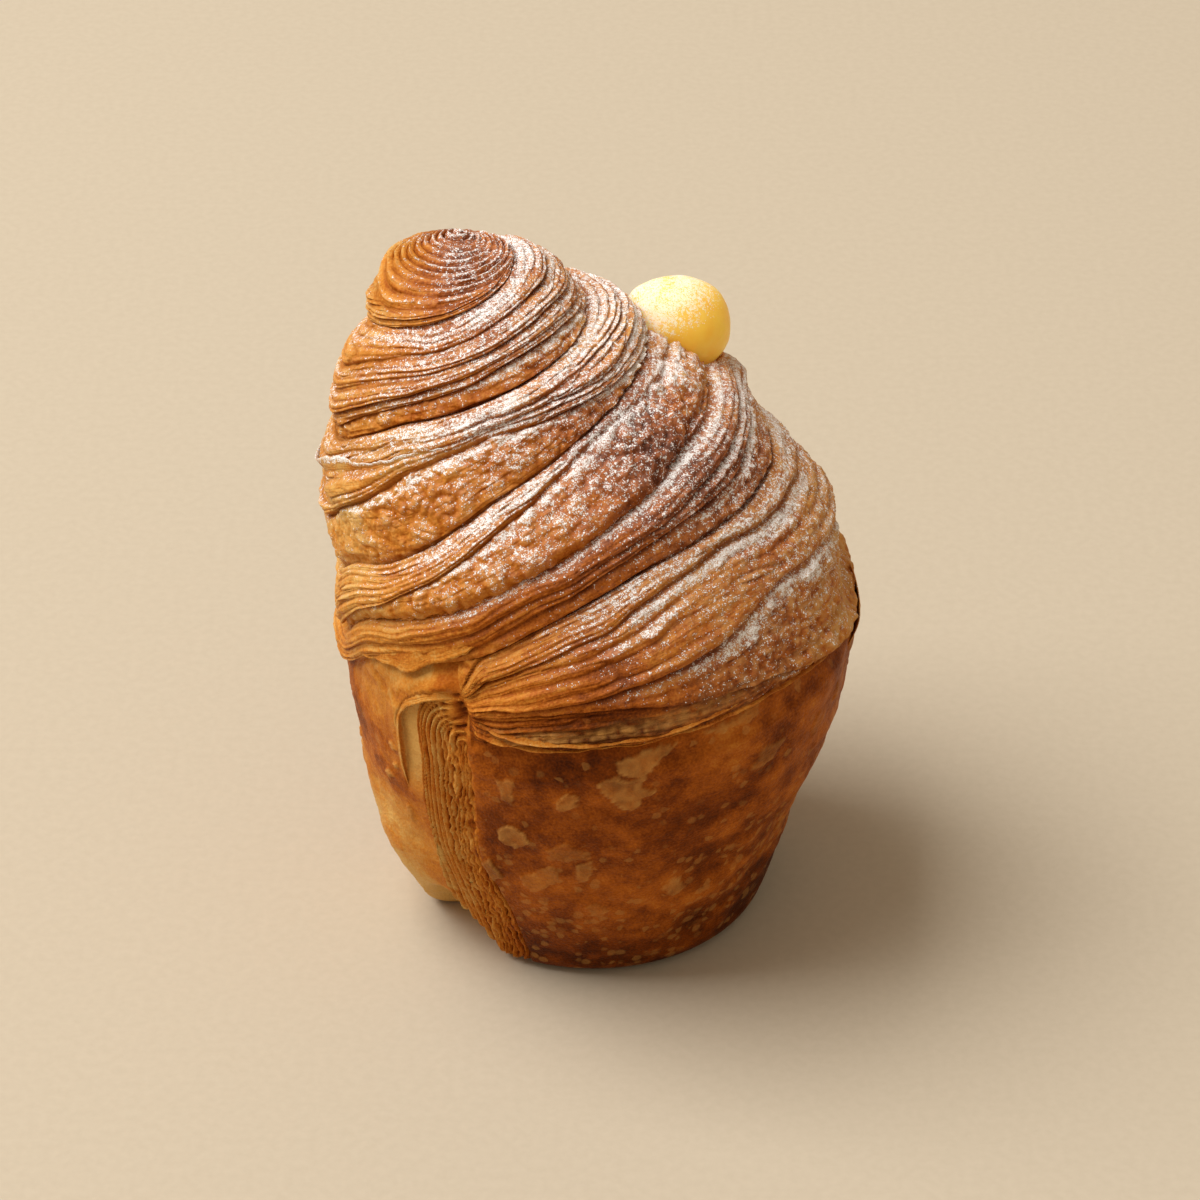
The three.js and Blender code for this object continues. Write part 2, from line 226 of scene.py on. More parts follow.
# The lip beside the tongue: level of its foot, degrees that it bends over the knot, degrees of its root and
# edge outside the lip's line, how far it stands out and ends in millimetres, brown tone
LIP = {"foot": 0.76, "bend": 86, "root": 2.6, "edge": -0.6, "stands": 0.4, "ends": -0.8, "tone": 0.36}
SHEET_THICKNESS, SHEET_ROOTED = 0.3, 0.6  # millimetres, and how deep the root lies
SHEET_EVEN = 4  # steps to each side that even out the ground
SHEET_TEAR = 0.0025  # levels that the edge strays

# Fineness of the mesh
ROWS = 130  # a turn
BASE_ROWS = 150
FAN_STEP, FINE_STEP, COARSE_STEP = 0.2, 0.5, 0.8  # degrees
FINE_FROM, FAN_FROM, FAN_TO, FINE_TO = -76, -51, -26, -8
SHEET_STEPS, SHEET_ROWS = 160, 9
CREAM_ROWS, CREAM_COLUMNS = 72, 120
HOLLOW_STEP, HOLLOW_STEPS = 0.25, 60

# Colours as 8-bit screen values, the crust's by its brown tone, which holds both baking and painted shade and
# light
CRUST_TONES = (
    (0.10, (214, 167, 92)),
    (0.36, (203, 129, 46)),
    (0.58, (173, 91, 20)),
    (0.78, (122, 55, 2)),
    (0.95, (75, 28, 0)),
)
PALE_SKIN, GAP_SHADE, SUGAR = (198, 142, 74), (105, 44, 7), (251, 246, 241)
CREAM_LIGHT, CREAM_DEEP, CREAM_PAINTED_GLOW = (255, 200, 66), (255, 187, 44), (255, 200, 90)
FLOOR_TONES = ((0.3, (188, 173, 150)), (0.7, (192, 177, 154)))
FINE_GRAIN, COARSE_GRAIN = 0.16, 0.26  # of sugar, in millimetres

# Stage, light and camera, in metres
FLOOR_SIZE = 3
KEY_PLACE, KEY_AIM, KEY_SIZE = Vector((-0.99, 0.1, 1.73)), Vector((0, 0, 0.05)), 1.44
KEY_POWER, KEY_COLOUR = 52, (0.96, 0.98, 1)
AMBIENT, AMBIENT_COLOUR = 0.46, (1, 0.86, 0.68, 1)
CAMERA_PLACE, CAMERA_ELEVATION = Vector((0.00096, -0.4860, 0.4063)), 36  # degrees
LENS, SENSOR = 118.5, 36  # millimetres


def curve(xs, ys):
    """A smooth curve through points that never overshoots them."""
    xs, ys = np.asarray(xs, float), np.asarray(ys, float)
    span = np.diff(xs)
    slope = np.diff(ys) / span
    product, total = slope[:-1] * slope[1:], slope[:-1] + slope[1:]
    mean = np.where(product > 0, 2 * product / np.where(total == 0, 1, total), 0)
    tangent = np.concatenate([slope[:1], mean, slope[-1:]])

    def at(x):
        x = np.asarray(x, float)
        i = np.clip(np.searchsorted(xs, x, side="left") - 1, 0, len(span) - 1)
        t = np.clip((x - xs[i]) / span[i], 0, 1)
        bend = t * t * (3 - 2 * t)
        start = t * (1 - t) ** 2 * span[i] * tangent[i]
        end = t * t * (t - 1) * span[i] * tangent[i + 1]
        return ys[i] * (1 - bend) + ys[i + 1] * bend + start + end

    return at


def smooth(x, low, high):
    """From 0 to 1 between two values."""
    t = np.clip((x - low) / (high - low), 0, 1)
    return t * t * (3 - 2 * t)


def fade(x, low, high):
    """From 1 to 0 between two values."""
    return 1 - smooth(x, low, high)


def window(x, low, full, end, high):
    """From 0 to 1 between the first two values and back to 0 between the last two."""
    return smooth(x, low, full) * fade(x, end, high)


def bump(x, middle, width):
    return np.exp(-(((x - middle) / width) ** 2))


def mix(a, b, share):
    return a + (b - a) * share


def wrapped(azimuth):
    return (azimuth + 180) % 360 - 180


def unit(vectors):
    return vectors / np.maximum(np.linalg.norm(vectors, axis=-1, keepdims=True), 1e-9)


def lattice(cells, seed):
    """A repeatable value from -1 to 1 for each whole-number cell."""
    x, y, z = cells
    h = (x * 374761393 + y * 668265263 + z * 1440662683 + seed * 974634777) & 0xFFFFFFFF
    h = ((h ^ (h >> 13)) * 1274126177) & 0xFFFFFFFF
    return ((h ^ (h >> 16)) & 0xFFFF) / 32767.5 - 1


def noise(x, y, seed, z=0):
    """Smooth noise from -1 to 1 with features one unit across. Each call below has a seed of its own."""
    coords = np.broadcast_arrays(x, y, z)
    cells = [np.floor(c).astype(np.int64) for c in coords]
    shares = [c - k for c, k in zip(coords, cells)]
    shares = [f * f * f * (f * (f * 6 - 15) + 10) for f in shares]
    total = 0
    for corner in itertools.product((0, 1), repeat=3):
        weight = 1
        for f, k in zip(shares, corner):
            weight = weight * (f if k else 1 - f)
        total = total + weight * lattice([c + k for c, k in zip(cells, corner)], SEED + seed)
    return total


def noise_at(points, size, seed):
    """Noise in space with features of a size in millimetres."""
    x, y, z = np.moveaxis(points / size, -1, 0)
    return noise(x, y, seed, z)


wall_radius = curve(BASE_HEIGHT, BASE_RADIUS)
crown = {key: curve(CROWN_LEVEL, values) for key, values in CROWN.items()}
groove = curve(
    [n + degrees / 360 for n, turn in enumerate(GROOVE_TURNS) for degrees, _ in turn],
    [level for turn in GROOVE_TURNS for _, level in turn],
)
guide_turns = [n + (azimuth - TAIL) / 360 for n in range(TURNS) for azimuth in GUIDE_AZIMUTHS]
guides = [curve(guide_turns, [share for turn in GUIDES for share in turn[g]]) for g in range(len(GUIDES[0]))]
band_width = curve(range(TURNS + 1), BAND_WIDTH)
coil_length = curve(range(TURNS + 1), COIL_LENGTH)
fan_right = curve(FAN_LEVELS, FAN_RIGHT)
fan_width = curve(FAN_LEVELS, FAN_WIDTH)
lip_width = curve(FAN_LEVELS, LIP_WIDTH)


def ring_point(azimuth, level, outward):
    """The point on the ring at a level: 0 to 1 climbs the base, 1 to 2 the crown."""
    low = level < 1
    base, top = np.minimum(level, 1), np.maximum(level, 1)
    height = base * RIM_HEIGHT
    below = np.clip(1 - height / FOOT_ROUNDING, 0, 1)
    inset = FOOT_ROUNDING * (1 - np.sqrt(1 - below**2))
    wall = wall_radius(np.maximum(height, FOOT_ROUNDING)) - inset
    reach = np.where(low, wall, crown["radius"](top)) + outward
    tilt = np.radians(np.where(low, CROWN["tilt"][0] * base**2, crown["tilt"](top)))
    side = reach * np.sin(np.radians(azimuth))
    front = DEPTH_RATIO * reach * np.cos(np.radians(azimuth))
    x = np.where(low, CROWN["x"][0] * base, crown["x"](top)) + side * np.cos(tilt)
    leaning = smooth(top, TIP_LEAN["from"], 2)
    y = np.where(low, 0, crown["y"](top)) - front + TIP_LEAN["back"] * leaning
    z = np.where(low, height, crown["z"](top)) + side * np.sin(tilt) - TIP_LEAN["down"] * leaning
    return np.stack([x, y, z], -1)


def per_turn(values, zone, turn):
    """A zone's value round the coil, as it is where each turn passes the front."""
    return np.interp(turn, np.arange(TURNS) - TAIL / 360, [zones[zone] for zones in values])


def coil_layers(turn, across, lean):
    """Relief of the layers' edges, how ridged, sunk in a gap and out on a ledge each place is, its spread.

    Each edge climbs from a gap to a crest and falls back to the next gap, sooner where the coil lies flatter.
    """
    width, along = band_width(turn), coil_length(turn)
    wander = 0.024 * noise(along / 15, across * 2.5, 1) + 0.012 * noise(along / 5, across * 7, 2)
    gathered = mix(KNOT_GATHER, 1, np.sqrt(smooth(turn, -0.25 * KNOT_REACH, KNOT_REACH)))
    place = across + wander * np.minimum(1, 24 * across * (1 - across))
    place = KNOT_ACROSS + (place - KNOT_ACROSS) / gathered
    layered = window(place, -0.08, 0, 1, 1.08)
    lines = [0 * turn, *(guide(turn) for guide in guides), 0 * turn + 1]
    order, ridged, pitch = 0, 0, 0
    for zone in range(5):
        low, high = lines[zone], np.maximum(lines[zone + 1], lines[zone] + 0.01)
        count = per_turn(EDGES, zone, turn)
        order = order + count * np.clip((place - low) / (high - low), 0, 1)
        entered = 1 if zone == 0 else smooth(place, low - 0.02, low + 0.02)
        left = 0 if zone == 4 else smooth(place, high - 0.02, high + 0.02)
        ridged = ridged + (entered - left) * per_turn(RIDGED, zone, turn)
        pitch = pitch + (entered - left) * (high - low) * width / count
    crest = mix(0.76, 0.5, smooth(lean, 0.2, 0.8))
    edge, share = np.divmod(order, 1)
    strength = np.clip(0.62 + 0.55 * noise(along / 15, edge * 1.7, 3), 0.1, 1.1)
    climb = np.minimum(share / crest, (1 - share) / (1 - crest))
    torn = 1 + 0.35 * noise(along / 2.2, edge * 2.3, 8)
    relief = np.clip(0.55 * pitch, 0.15, 0.9) * ridged * strength * (torn * climb**0.7 - 0.6)
    gap = ridged * strength * fade(climb, 0.05, 0.5)
    ledge = ridged * strength * window(share, crest - 0.25, crest, 0.9, 0.98)
    spread = place * width
    strand = noise(along / 10, spread / 0.8, 5)
    crack = np.exp(-((strand / 0.16) ** 2)) * smooth(noise(along / 8, spread / 2, 6), -0.3, 0.4)
    crack = crack * np.sqrt(ridged)
    relief = relief - 0.3 * crack + 0.07 * noise(along / 3.5, spread / 0.4, 7)
    gap = np.maximum(gap, 0.6 * crack)
    for g, line in enumerate(lines):
        away = (place - line) * width
        depth = 0.75 + 0.45 * noise(along / 17, g * 5.1, 4)
        climb = np.maximum(away, 0) / 1.1
        relief = relief + depth * (0.75 * climb * np.exp(1 - climb) - 0.5 * np.exp(-np.abs(away) / 0.3))
        gap = np.maximum(gap, depth * bump(away, 0, 0.32))
        below, wide = (1.2, 0.9) if g == len(lines) - 1 else (0.7, 0.5)
        ledge = np.maximum(ledge, 1.3 * depth * bump(away, -below, wide))
    return layered * relief, layered * ridged, layered * gap, layered * np.clip(ledge, 0, 1.5), spread


def knob_climb(points):
    """From 0 on the knob's foot to 1 at its apex, level on circles that close in on it, and the way round."""
    radius = crown["radius"](KNOB_FROM)
    x = (points[..., 0] - crown["x"](KNOB_FROM)) / radius
    y = (points[..., 1] - crown["y"](KNOB_FROM)) / radius / DEPTH_RATIO
    right, back = KNOB_APEX
    a = right**2 + back**2 - 1
    b = 2 * (1 - right * x - back * y)
    climb = (-b + np.sqrt(np.maximum(b * b - 4 * a * (x * x + y * y - 1), 0))) / (2 * a)
    around = np.arctan2(x - climb * right, climb * back - y)
    return climb, around / (2 * math.pi)


def tip_layers(points):
    """Relief, gaps and ledges of the fine ridge that winds up the knob to its apex."""
    climb, around = knob_climb(points)
    winding = KNOB_RIDGES * climb + around + 0.25 * noise_at(points, 5, 61)
    share = winding % 1
    step = np.linalg.norm(np.gradient(points, axis=0), axis=-1)
    crowding = KNOB_RIDGES * np.abs(np.gradient(climb, axis=0)) / np.maximum(step, 1e-6)
    strength = np.clip(0.8 + 0.6 * noise_at(points, 3, 62), 0.15, 1.2) * fade(crowding, 1, 2.4)
    climb = np.minimum(share / 0.55, (1 - share) / 0.45)
    relief = 0.75 * strength * (climb**0.8 - 0.5)
    return relief, 0.8 * strength * fade(climb, 0.05, 0.5), strength * smooth(climb, 0.5, 0.9)


def coil_form(turn, across):
    """Bulge of a turn between its grooves, the fold inside it and the overhang of the first turn."""
    bulge = mix(BAND_BULGE, TIP_BULGE, smooth(turn, 2.5, TURNS - 1))
    arch = np.abs(np.sin(np.pi * across ** (math.log(0.5) / math.log(0.6))))
    folded = fade(np.abs(turn - 1.15), 0.4, 0.6)
    fold = folded * 1.6 * bump(across, guides[2](turn) + 0.02, 0.07)
    first = (turn < 1) * fade(turn, 0.85, 1)
    lip = first * (0.8 + bulge * 0.62) * fade(across, 0, 0.55)
    form = bulge * (arch**0.8 - 0.62) - fold + lip
    opening = smooth(turn, 0, mix(0.025, 0.09, smooth(np.abs(across - KNOT_ACROSS), 0.08, 0.45)))
    return form * np.where(form > 0, opening, mix(opening, 1, smooth(across, 0.7, 1)))


def knot_dent(azimuth, level):
    return bump(azimuth, KNOT["azimuth"], KNOT["width"]) * bump(level, KNOT["level"], KNOT["height"])


def swelling(azimuth, level, places):
    side = wrapped(azimuth)
    return sum(h * bump(side, a, w) * bump(level, l, s) for a, l, w, s, h in places)


def grid_normals(points):
    """Unit normals of a grid of points, facing out where rows climb and columns run to the right."""
    return unit(np.cross(np.gradient(points, axis=1), np.gradient(points, axis=0)))


def columns():
    """Degrees round from the tail, closer together near it."""
    edges = (TAIL, FAN_TO, FINE_TO, FINE_FROM + 360, FAN_FROM + 360, TAIL + 360)
    steps = (FAN_STEP, FINE_STEP, COARSE_STEP, FINE_STEP, FAN_STEP)
    spans = zip(edges, edges[1:], steps)
    return np.concatenate([np.arange(low, high - step / 2, step) for low, high, step in spans]) - TAIL


def fan_drift(azimuth, level):
    return DRIFT * np.maximum(0, 1 - level) * bump(azimuth, DRIFT_AZIMUTH, DRIFT_WIDTH)


def tail_relief(azimuth, level):
    """Relief of the lobe, notch, fan, tongue and lip, and where the fan, its gaps and the others lie."""
    height = level * RIM_HEIGHT
    lobe = LOBE["out"] * bump(azimuth, LOBE["azimuth"], LOBE["width"])
    lobe = lobe * bump(height, LOBE["height"], LOBE["rise"])
    sides = window(azimuth, NOTCH["from"], NOTCH["middle"], NOTCH["middle"], NOTCH["to"])
    right, wide, lip = fan_right(level), fan_width(level), lip_width(level)
    aside, above = np.maximum(right - azimuth, 0), np.maximum(0, level - KNOT_FOOT)
    away = (aside**ARCH + (FAN_RISE * above) ** ARCH) ** (1 / ARCH)
    lip_away = np.hypot(aside, LIP_RISE * above)
    inside = fade(away, wide - 0.3, wide + 0.3) * fade(azimuth, right - 0.3, right + 0.9)
    spread = 1 - away / wide
    crumbly = smooth(spread, 0.35, 0.6)
    order = FAN_EDGES * spread + 0.5 * noise(spread * 5, level * 3, 11)
    order = order + 0.35 * crumbly * noise(spread * 7, level * 30, 13)
    edge, share = np.divmod(order, 1)
    strength = np.clip(0.8 + 0.5 * noise(edge * 1.9, level * 5, 12), 0.2, 1.3)
    strength = strength * (1 - 0.6 * crumbly * smooth(noise(edge * 2.7, level * 26, 15), 0, 0.5))
    climb = np.minimum(share / 0.6, (1 - share) / 0.4)
    fan = inside * (1.25 * strength * (climb**1.3 - 0.45) - 0.4 * crumbly)
    crumbs = noise(spread * 12, level * 50, 14) + 0.6 * noise(spread * 26, level * 110, 16)
    fan = fan + inside * crumbly * 0.35 * crumbs
    fringe = 1.5 * noise(edge * 2.3, 0.5, 17) * inside
    cut = fade(height + fringe - NOTCH["height"] * sides, -NOTCH["edge"], NOTCH["edge"])
    notch = NOTCH["depth"] * np.minimum(1, sides * 3) * cut
    hollow = smooth(level, 0.7, 0.98) * smooth(aside, 0, 2)
    tongue = fade(lip_away, lip - 0.3, lip + 0.1) * smooth(away, wide - 0.2, wide + 0.5) * hollow
    curl = window(lip_away, lip - 0.1, lip + 0.2, lip + 0.5, lip + 6)
    curl = curl * smooth(level, 0.75, 1.02) * smooth(aside, 0, 5)
    dent = knot_dent(azimuth, level)
    relief = lobe - notch + fan - 0.2 * tongue + 0.8 * curl - KNOT["depth"] * dent
    gap = np.maximum(inside * strength * fade(climb, 0.05, 0.5), dent)
    # The crest marks the fan's crests and the lip's edge, where the base is painted lighter as a highlight
    crest = inside * strength * smooth(climb, 0.8, 1) + 1.6 * curl * bump(lip_away, lip + 0.3, 0.5)
    return relief, inside, gap, crest, tongue, curl, away


def outline_depth(across, up, outline):
    """How far inside a closed outline each place lies, in millimetres."""
    nearest, winding = np.full(np.shape(up), np.inf), np.zeros(np.shape(up))
    for (x0, y0), (x1, y1) in zip(outline, outline[1:] + outline[:1]):
        dx, dy = x1 - x0, y1 - y0
        t = np.clip(((across - x0) * dx + (up - y0) * dy) / (dx * dx + dy * dy), 0, 1)
        nearest = np.minimum(nearest, np.hypot(across - x0 - t * dx, up - y0 - t * dy))
        crossed = (y0 > up) != (y1 > up)
        winding = winding + crossed * (across < x0 + (up - y0) * dx / (dy if dy else 1))
    return np.where(winding % 2 == 1, nearest, -nearest)


def spots(azimuth, level, marks, ragged):
    """Relief and paleness of patches of lifted skin, with edges that stray by the ragged distances."""
    relief, pale = np.zeros_like(level), np.zeros_like(level)
    for lift, paleness, *outline in marks:
        middle = outline[0][0]
        corners = [(DEGREE * (a - middle), RIM_HEIGHT * l) for a, l in outline]
        depth = outline_depth(DEGREE * wrapped(azimuth - middle), RIM_HEIGHT * level, corners) + ragged
        inside = smooth(depth, 0, 0.25)
        relief = relief + lift * inside * (1 - 0.4 * smooth(depth, 0.3, 1.5))
        pale = np.maximum(pale, paleness * inside * (1 + 0.6 * bump(depth, 0.2, 0.25)))
    return relief, pale


def stray_blister(draw):
    """A small blister somewhere on the right or the back of the base, told as the flakes are."""
    middle, height, size = draw.uniform(50, 290), draw.uniform(0.15, 1), draw.uniform(1, 3)
    angles = np.linspace(0, 2 * math.pi, BLISTER_CORNERS, endpoint=False)
    reach = size * draw.uniform(0.5, 1.2, BLISTER_CORNERS)
    corners = zip(middle + reach * np.cos(angles) / DEGREE, height + reach * np.sin(angles) / RIM_HEIGHT)
    return 0.25, draw.uniform(0.1, 0.4), *corners


def terraces(height):
    """Steps with short slopes, one for each whole number."""
    step, share = np.divmod(height, 1)
    return step + smooth(share, 0, 0.22)


def inside_egg(points, margin):
    """Whether each point lies in the cream or within a margin of it."""
    own = (points - CREAM_CENTRE) @ egg_turn / (CREAM_RADII + margin)
    girth = 1 + CREAM_TAPER * own[..., 0]
    return own[..., 0] ** 2 + (own[..., 1] / girth) ** 2 + (own[..., 2] / girth) ** 2 < 1


def zip_columns(left, right, left_rank, right_rank):
    """Triangles between two columns of vertices, climbing whichever is lower."""
    climbs = [(rank, True) for rank in left_rank[1:]] + [(rank, False) for rank in right_rank[1:]]
    faces = []
    i, j = 0, 0
    for _, on_left in sorted(climbs):
        faces.append((left[i], right[j], left[i + 1] if on_left else right[j + 1]))
        i, j = (i + 1, j) if on_left else (i, j + 1)
    return faces


def quads(ids):
    """Faces between the rows and columns of a grid of vertices."""
    return np.stack([ids[:-1, :-1], ids[:-1, 1:], ids[1:, 1:], ids[1:, :-1]], -1).reshape(-1, 4)


def vertex_normals(points, faces):
    """Unit normals of the whole surface, so that pieces shade alike where they meet."""
    normals = np.zeros_like(points)
    for group in faces:
        corners = points[group]
        across, up = corners[:, 2] - corners[:, 0], corners[:, -1] - corners[:, 1]
        for k in range(group.shape[1]):
            np.add.at(normals, group[:, k], np.cross(across, up))
    return normals / np.maximum(np.linalg.norm(normals, axis=1, keepdims=True), 1e-12)


def add_object(name, data):
    thing = bpy.data.objects.new(name, data)
    scene.collection.objects.link(thing)
    return thing


def mesh_object(name, points, faces, attributes, material, normals=None):
    """A smooth mesh object from points in millimetres, with the attributes of the vertices that it uses."""
    used, corners = np.unique(np.concatenate([np.ravel(f) for f in faces]), return_inverse=True)
    sizes = np.concatenate([np.full(len(f), np.shape(f)[1]) for f in faces])
    mesh = bpy.data.meshes.new(name)
    mesh.vertices.add(len(used))
    mesh.vertices.foreach_set("co", (points[used] * MM).astype(np.float32).ravel())
    mesh.loops.add(len(corners))
    mesh.loops.foreach_set("vertex_index", corners.astype(np.int32))
    mesh.polygons.add(len(sizes))
    starts = np.concatenate([[0], np.cumsum(sizes)[:-1]])
    mesh.polygons.foreach_set("loop_start", starts.astype(np.int32))
    mesh.polygons.foreach_set("use_smooth", np.ones(len(sizes), bool))
    mesh.update(calc_edges=True)
    for key, values in attributes.items():
        layer = mesh.attributes.new(key, "FLOAT", "POINT")
        layer.data.foreach_set("value", values[used].astype(np.float32))
    if normals is not None:
        mesh.normals_split_custom_set_from_vertices(normals[used].tolist())
    mesh.materials.append(material)
    return add_object(name, mesh)


# Crown: a grid of rows from the rim to the tip
degrees = columns()
count = len(degrees)
row = np.arange(TURNS * ROWS + 1)[:, None]
turn_index = np.minimum(row // ROWS, TURNS - 1)
across = row / ROWS - turn_index + 0 * degrees
turn = turn_index + degrees / 360
azimuth = TAIL + 360 * turn
side = wrapped(azimuth)
lower = groove(turn)
level = lower + (groove(np.minimum(turn + 1, TURNS)) - lower) * across
knob = smooth(level, KNOB_FROM + 0.012, KNOB_FROM + 0.03)
dent = fade(turn, 0.03, 0.06) * KNOT["depth"] * knot_dent(azimuth, level)
crown_form = (1 - knob) * coil_form(turn, across) - dent
crown_out = crown_form + swelling(azimuth, level, SWELLINGS)
points = ring_point(azimuth, level, crown_out)
normals = grid_normals(points)

# Parts of the crown, 1 inside each and 0 outside
behind = fade(side, -150, -110)
right_side = np.minimum(1, smooth(side, 15, 70) + behind)
low_right = window(side, 15, 45, 110, 160) * fade(level, 1.3, 1.45)
rim_strip = bump(level, 1.14, 0.015) * window(side, -27, -18, 25, 50) * (turn < 0.5)
underfold = bump(turn, 1.08, 0.13) * fade(across, 0.3, 0.45)
start = smooth(turn, 0, 0.008)
tip = smooth(level, 1.86, 1.96)

# Relief of the crown: edges of the layers, pebbled skin between them and pits on the right
relief, ridged, gap, ledge, spread = coil_layers(turn, across, normals[..., 2])
knob_layers = tip_layers(points)
relief, gap, ledge = (mix(coil, wound, knob) for coil, wound in zip((relief, gap, ledge), knob_layers))
ridged = mix(ridged, 1, knob)
spread = mix(spread, KNOB_LENGTH * knob_climb(points)[0], knob)
skin = 1 - np.clip(ridged * 1.3, 0, 1)
pebbles = np.abs(noise_at(points, 2.3, 21)) + 0.6 * np.abs(noise_at(points, 1.1, 22))
pits = noise_at(points, 0.8, 68) + 0.5 * noise_at(points, 0.45, 69)
pitted = 0.26 * right_side * (0.35 + 0.65 * skin) * pits
rough = 0.1 * noise_at(points, 0.6, 23) + rim_strip * (0.3 * noise_at(points, 0.9, 63) - 0.2)
standing = start * np.minimum(1, crown["radius"](np.maximum(level, 1)) / 4)
raised = relief + skin * (1 + 0.8 * right_side) * (0.75 * pebbles - 0.3) + rough + pitted
raised = standing * raised
overhang = 0.7 * standing * np.maximum(relief, 0)
climbing = unit(np.gradient(points, axis=0))
points = points + normals * raised[..., None] - climbing * overhang[..., None]
crown_out = crown_out + raised

# Tone of the crown: darker in the gaps as painted shade, browner on the knob's right, under the fold and by
# the rim in front, lighter on the right as painted light
mottle = noise_at(points, 13, 24) + 0.6 * noise_at(points, 5, 25)
tip_right = smooth(points[..., 0] - CROWN["x"][-1], -9, 5)
brown = 0.39 + 0.10 * mottle + 0.16 * skin * (0.5 - pebbles) + 0.12 * gap - 0.08 * ledge - pitted
# Painted light: the tone turns lighter towards the right, in place of fill light from that side
brown += mix(0.14 * smooth(side, -70, 30) - 0.13 * smooth(side, 30, 70), 0.36 * tip_right, tip)
brown -= 0.1 * fade(side, -65, -15) * (1 - behind) * (1 - tip)
brown += 0.14 * underfold + 0.22 * bump(turn, 1.23, 0.1) + 0.12 * bump(turn, 3.1, 0.3)
brown += 0.22 * fade(level, 1.12, 1.22) * window(side, -40, -24, 5, 40)
brown += 0.18 * fade(level, 1.1, 1.3) * window(side, -50, -24, 30, 65)
pale = rim_strip * np.clip(0.45 + 0.6 * noise_at(points, 0.7, 64), 0, 0.9)
pale = np.maximum(pale, low_right * np.clip(0.25 + 0.6 * pits, 0, 0.8))

# Sugar on the crown: what faces up, and the ledges of the layers, less towards the left
up = grid_normals(points)[..., 2]
clumps = 0.5 + 0.35 * noise_at(points, 4, 27) + 0.25 * noise_at(points, 1.5, 28)
clumps += 0.5 * skin * (pebbles - 0.5)
dust = smooth(up, 0.05, 0.95) * (0.14 + 0.42 * clumps)
dust *= mix(0.15, 1, smooth(side, -75, 10) + behind) * (1 - 0.6 * low_right)
on_ledges = np.minimum(1.2, ledge) ** 1.5 * smooth(up, 0, 0.7) * (0.45 + 0.5 * clumps)
swept = mix(mix(0.15, 1, smooth(side, -50, 0)), mix(0.5, 1, smooth(side, -80, 0)), smooth(turn, 1.3, 1.7))
dust += on_ledges * mix(swept, 1, right_side)

# Less by the rim, in the gaps, low on each turn, at the tail and under the fold
dust *= mix(smooth(level, 1.13, 1.38), smooth(level, 0.97, 1.12), right_side)
dust *= mix(1, mix(0.6, 1.15, tip_right), tip) * (1 - 0.6 * np.minimum(gap, 1))
dust *= mix(0.3, 1, np.maximum(smooth(across, 0.05, 0.5), smooth(side, 20, 60) + behind))
dust *= mix(0.15, 1, smooth(turn, 0.01, 0.16)) * (1 - 0.6 * underfold)
dust *= mix(1, 0.62, smooth(turn, 2.6, 3.2)) * (1 - 0.3 * bump(turn, 1.22, 0.08))

# More on the broad ledges, along the crest on the right, on pebbles and thinly over the right
dust += 0.6 * bump(turn, 2.09, 0.06) * bump(across, 0.83, 0.1) * clumps
dust += 0.6 * window(turn, 2.97, 3.03, 3.5, 3.9) * bump(across, 0.92, 0.06) * clumps
from_crest = (across - guides[2](turn)) * band_width(turn)
right_crest = fade(turn, 0.35, 0.5) * smooth(side, 15, 40) * bump(from_crest, -1.2, 0.9)
dust += 0.95 * right_crest * clumps * (0.5 + pebbles)
dust += 0.14 * skin * smooth(turn, 0.05, 0.2) * smooth(pebbles, 0.3, 0.9)
thin = 0.2 * (0.8 + 0.6 * pits) * window(side, 0, 50, 120, 170) * smooth(level, 1.05, 1.2)
dust = np.maximum(dust, thin)

# Hollow under the cream
egg_turn = np.array(Matrix.Rotation(CREAM_TURN, 3, "Y"))
seat = unit(normals[inside_egg(points, 1.0)].mean(0))
for _ in range(HOLLOW_STEPS):
    points = points - HOLLOW_STEP * inside_egg(points, CREAM_GAP)[..., None] * seat

# Base: a grid of rows from the foot to the rim
climb = np.linspace(0, 1, BASE_ROWS + 1)[:, None]
near = np.where(degrees > 180, degrees - 360, degrees) + TAIL
base_level = groove(degrees / 360) * climb**0.9
base_azimuth = near + fan_drift(near, base_level)
ring = wrapped(base_azimuth)
right_way, up_way = DEGREE * ring, RIM_HEIGHT * base_level
base_out, fan, base_gap, crest, tongue, curl, away = tail_relief(base_azimuth, base_level)
rim = smooth(climb, 0.965, 1)
base_out = base_out + np.minimum(crown_form[0], -0.4) * rim * (1 - fan)
base_out = base_out + swelling(base_azimuth, base_level, (BASE_HOLLOW, *SWELLINGS))
base_points = ring_point(base_azimuth, base_level, base_out)
base_normals = grid_normals(base_points)

# Parts of the base, 1 inside each and 0 outside
left = window(ring, -150, -90, -60, -36)
front = window(ring, -36, -22, 100, 140)
base_right = window(ring, 5, 30, 140, 175)
flap = smooth(base_level, 1.08, 1.16) * smooth(base_azimuth, -80, -50)
# The left foot: paler pastry, made paler still as painted bounce light from the floor
pale_and_lit_foot = left * smooth(ring, -105, -70) * fade(base_level, 0.2, 0.75)

